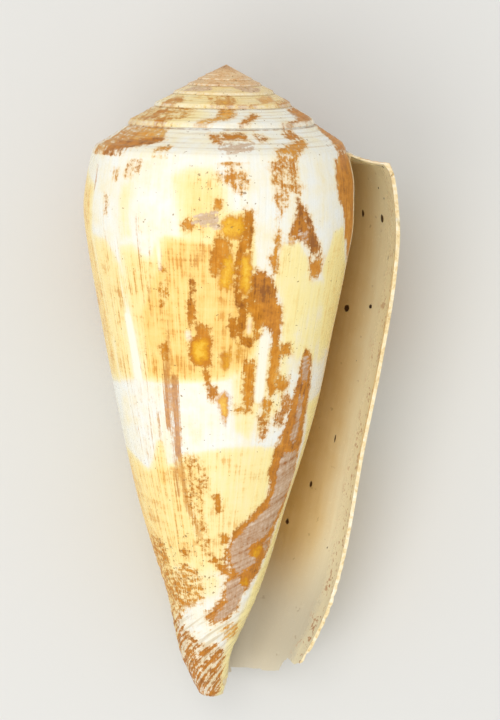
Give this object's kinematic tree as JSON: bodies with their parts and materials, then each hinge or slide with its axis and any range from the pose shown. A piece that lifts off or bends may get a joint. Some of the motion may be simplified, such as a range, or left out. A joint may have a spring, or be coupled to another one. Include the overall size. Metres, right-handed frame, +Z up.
{
  "type": "magician cone shell",
  "caption": "Tapering cone shell of a sea snail with a low stepped spire, a long slit mouth and a broken thin lip, lying on its back.",
  "frame": {"origin": "centre of the bounding box's bottom face, on the ground that the shell lies on", "axes": "+Z up, away from the ground and out of the open mouth; +Y towards the pointed apex of the spire; +X towards the free lip"},
  "size_m": [0.0296, 0.0592, 0.0272],
  "materials": {
    "shell": "satin porcelain-like lime shell, white and yellow with worn brown streaks"
  },
  "bodies": {
    "root": {"shell": "shell"}
  },
  "joints": []
}
